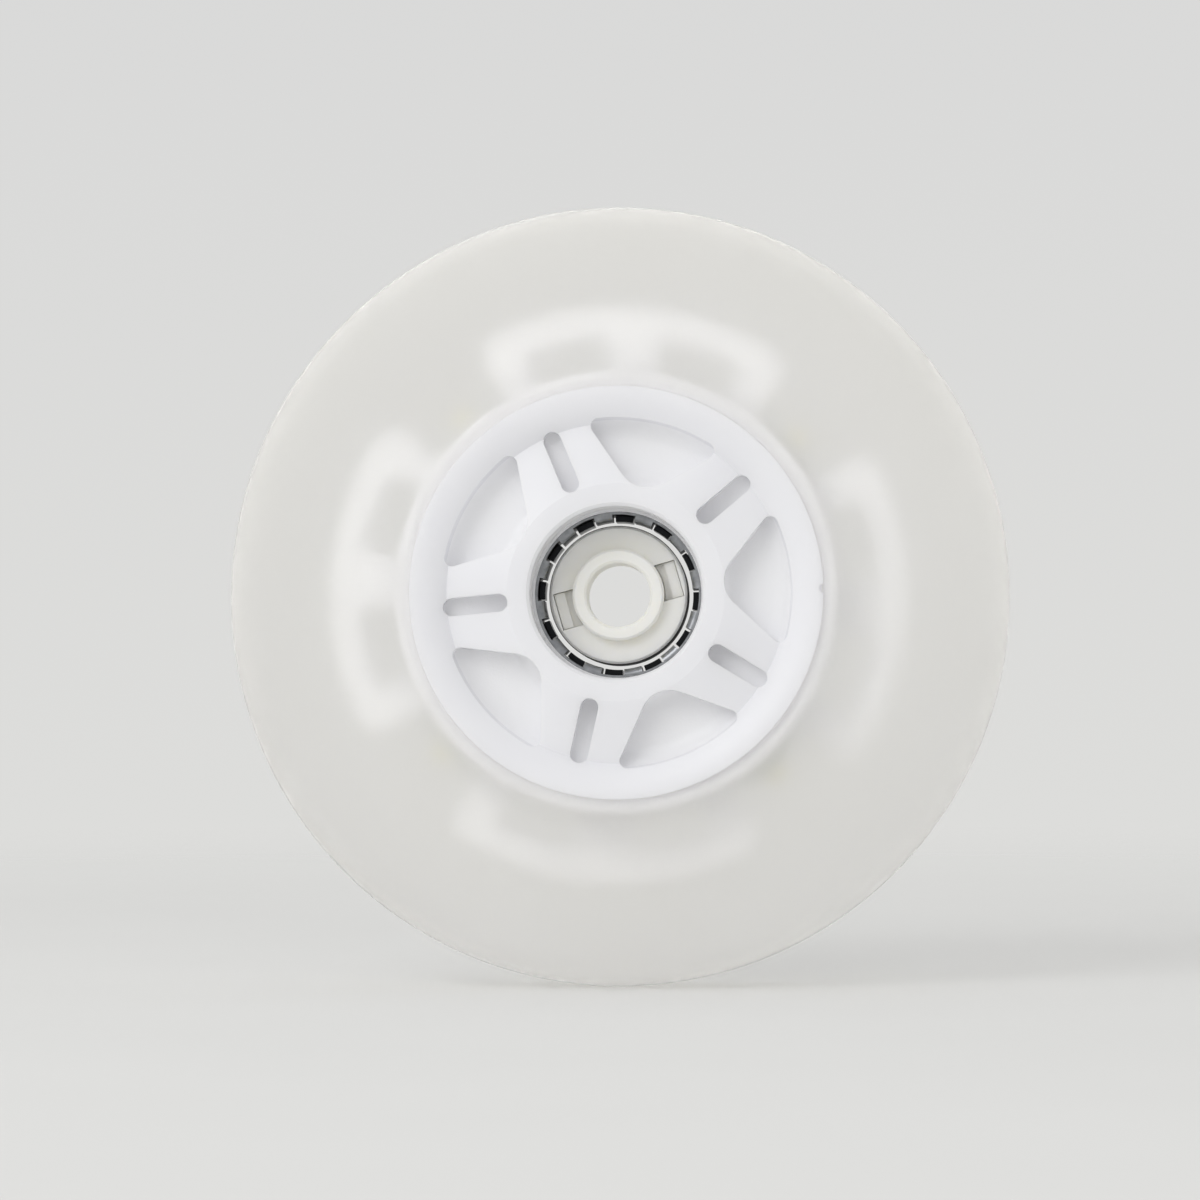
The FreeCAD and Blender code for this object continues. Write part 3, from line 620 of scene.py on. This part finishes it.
class FinishCoil(bpy.types.Operator):
    """Finishes the bobbin, the winding, its pins and the two lead wires"""
    bl_idname = "caster_wheel.finish_coil"
    bl_label = "Finish coil"

    def execute(self, context):
        dress(black_nylon(), "coil_bobbin")
        dress(enamelled_copper(), "coil_winding")
        dress(tinned_brass(), "terminal_pin_a", "terminal_pin_b")
        dress(silicone_insulation(), "lead_wire_a", "lead_wire_b")
        return {"FINISHED"}


class FinishLamps(bpy.types.Operator):
    """Finishes the four lamps and their boards"""
    bl_idname = "caster_wheel.finish_lamps"
    bl_label = "Finish lamps"

    def execute(self, context):
        mask, resin = solder_mask(), lamp_resin()
        for number in range(1, 5):
            dress(mask, f"led_board_{number}")
            dress(resin, f"led_lamp_{number}")
        return {"FINISHED"}


# ---------------------------------------------------------------- stage

def add_camera(stage):
    """A distant camera with a long lens, a little to the right of the axis and below it."""
    data = bpy.data.cameras.new("camera")
    data.sensor_width = 36.0    # in mm, like the lens
    data.lens = data.sensor_width * stage.distance / stage.frame_width
    camera = bpy.data.objects.new("camera", data)
    direction = Vector((math.tan(stage.to_the_right), -1, -math.tan(stage.below))).normalized()
    camera.location = direction * stage.distance
    aim = Vector((-stage.aim_left, 0, -stage.aim_low))
    camera.rotation_mode = "QUATERNION"
    camera.rotation_quaternion = (aim - camera.location).to_track_quat("-Z", "Y")
    bpy.context.scene.collection.objects.link(camera)
    bpy.context.scene.camera = camera


def add_floor(stage):
    """A flat round paper floor. It touches the round tread, and the wheel leans back on it a little."""
    shape = bmesh.new()
    bmesh.ops.create_circle(shape, cap_ends=True, segments=128, radius=stage.floor_radius)
    bmesh.ops.recalc_face_normals(shape, faces=shape.faces)
    bmesh.ops.rotate(shape, verts=shape.verts, cent=(0, 0, 0), matrix=Matrix.Rotation(stage.lean, 3, "X"))
    tread_centre = WHEEL_RADIUS - HALF_WIDTH
    bmesh.ops.translate(shape, verts=shape.verts,
                        vec=(0, HALF_WIDTH * math.sin(stage.lean),
                             -tread_centre - HALF_WIDTH * math.cos(stage.lean)))
    mesh = bpy.data.meshes.new("floor")
    shape.to_mesh(mesh)
    shape.free()
    mesh.materials.append(paper(stage))
    floor = bpy.data.objects.new("floor", mesh)
    bpy.context.scene.collection.objects.link(floor)


def add_lamp(name, place, size, power):
    """A square soft lamp that looks at the wheel."""
    data = bpy.data.lights.new(name, "AREA")
    data.shape, data.size, data.energy = "SQUARE", size, power
    lamp = bpy.data.objects.new(name, data)
    lamp.location = place
    lamp.rotation_mode = "QUATERNION"
    lamp.rotation_quaternion = (-Vector(place)).to_track_quat("-Z", "Y")
    bpy.context.scene.collection.objects.link(lamp)
    return lamp


def studio_light(stage):
    """Soft light from pale walls all round, a little darker higher up, and a slightly brighter ceiling."""
    # Parts of a unit direction: heights where the wall has darkened and where the ceiling brightens, and
    # the depth past which the room counts as behind the camera
    wall_change, ceiling_start, ceiling_end, fully_behind = 0.2, 0.25, 0.9, -0.5
    world = bpy.data.worlds.new("studio")
    world.use_nodes = True
    world.node_tree.nodes.clear()
    towards = add_node(world, "ShaderNodeTexCoord").outputs["Generated"]
    axes = add_node(world, "ShaderNodeSeparateXYZ", {0: towards})
    up = axes.outputs["Z"]
    higher = add_node(world, "ShaderNodeMapRange", {"Value": up, "From Min": 0.0, "From Max": wall_change})
    wall = add_node(world, "ShaderNodeMix", {
        FACTOR: higher.outputs[0], FIRST: linear(stage.horizon), SECOND: linear(stage.overhead)},
        data_type="RGBA")
    strength = add_node(world, "ShaderNodeMapRange", {
        "Value": up, "From Min": ceiling_start, "From Max": ceiling_end, "To Min": 1.0,
        "To Max": stage.ceiling})
    # The room behind the camera is brighter to the left than to the right
    behind = add_node(world, "ShaderNodeMapRange", {
        "Value": axes.outputs["Y"], "From Min": 0.0, "From Max": fully_behind, "To Min": 0.0,
        "To Max": -stage.one_sided})
    uneven = add_node(world, "ShaderNodeMath", {
        0: axes.outputs["X"], 1: behind.outputs[0], 2: strength.outputs[0]}, operation="MULTIPLY_ADD")
    background = add_node(world, "ShaderNodeBackground",
                          {"Color": wall.outputs[MIXED], "Strength": uneven.outputs[0]})
    add_node(world, "ShaderNodeOutputWorld", {"Surface": background.outputs[0]})
    return world


class SetStage(bpy.types.Operator):
    """Sets up the camera, the paper floor and the soft light"""
    bl_idname = "caster_wheel.set_stage"
    bl_label = "Set stage"

    def execute(self, context):
        stage = context.scene.caster_wheel.stage
        add_camera(stage)
        add_floor(stage)
        add_lamp("key_lamp", KEY_LAMP_AT, stage.key_size, stage.key_power)
        # The haze carries light to the ring inside the tyre. This lamp stands for it and lights no more.
        fill = add_lamp("ring_fill_lamp", FILL_LAMP_AT, FILL_LAMP_SIZE, stage.fill_power)
        lit = bpy.data.collections.new("lit_by_the_fill")
        lit.objects.link(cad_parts["anchor_ring"])
        fill.light_linking.receiver_collection = lit
        context.scene.world = studio_light(stage)
        context.scene.view_settings.view_transform = "Standard"
        return {"FINISHED"}


# ---------------------------------------------------------------- add-on

OPERATORS = (CastTyre, FinishHub, PlatePoles, FinishSleeve, FinishCoil, FinishLamps, SetStage)
SETTINGS = (TyreSettings, HubSettings, SteelSettings, SleeveSettings, StageSettings, WheelSettings)


class WheelPanel(bpy.types.Panel):
    """Lists the wheel's settings and the operators that make it"""
    bl_idname = "VIEW3D_PT_caster_wheel"
    bl_label = "Light-up caster wheel"
    bl_space_type = "VIEW_3D"
    bl_region_type = "UI"
    bl_category = "Wheel"

    def draw(self, context):
        settings = context.scene.caster_wheel
        for group in ("tyre", "hub", "steel", "sleeve", "stage"):
            box = self.layout.box()
            box.label(text=group.capitalize())
            values = getattr(settings, group)
            for name in values.__annotations__:
                box.prop(values, name)
        for operator in OPERATORS:
            self.layout.operator(operator.bl_idname)


CLASSES = SETTINGS + OPERATORS + (WheelPanel,)


def register():
    for each in CLASSES:
        bpy.utils.register_class(each)
    bpy.types.Scene.caster_wheel = PointerProperty(type=WheelSettings)


def unregister():
    del bpy.types.Scene.caster_wheel
    for each in reversed(CLASSES):
        bpy.utils.unregister_class(each)


def main():
    register()
    bpy.ops.caster_wheel.cast_tyre()
    bpy.ops.caster_wheel.finish_hub()
    bpy.ops.caster_wheel.plate_poles()
    bpy.ops.caster_wheel.finish_sleeve()
    bpy.ops.caster_wheel.finish_coil()
    bpy.ops.caster_wheel.finish_lamps()
    bpy.ops.caster_wheel.set_stage()


if __name__ == "__main__":
    main()
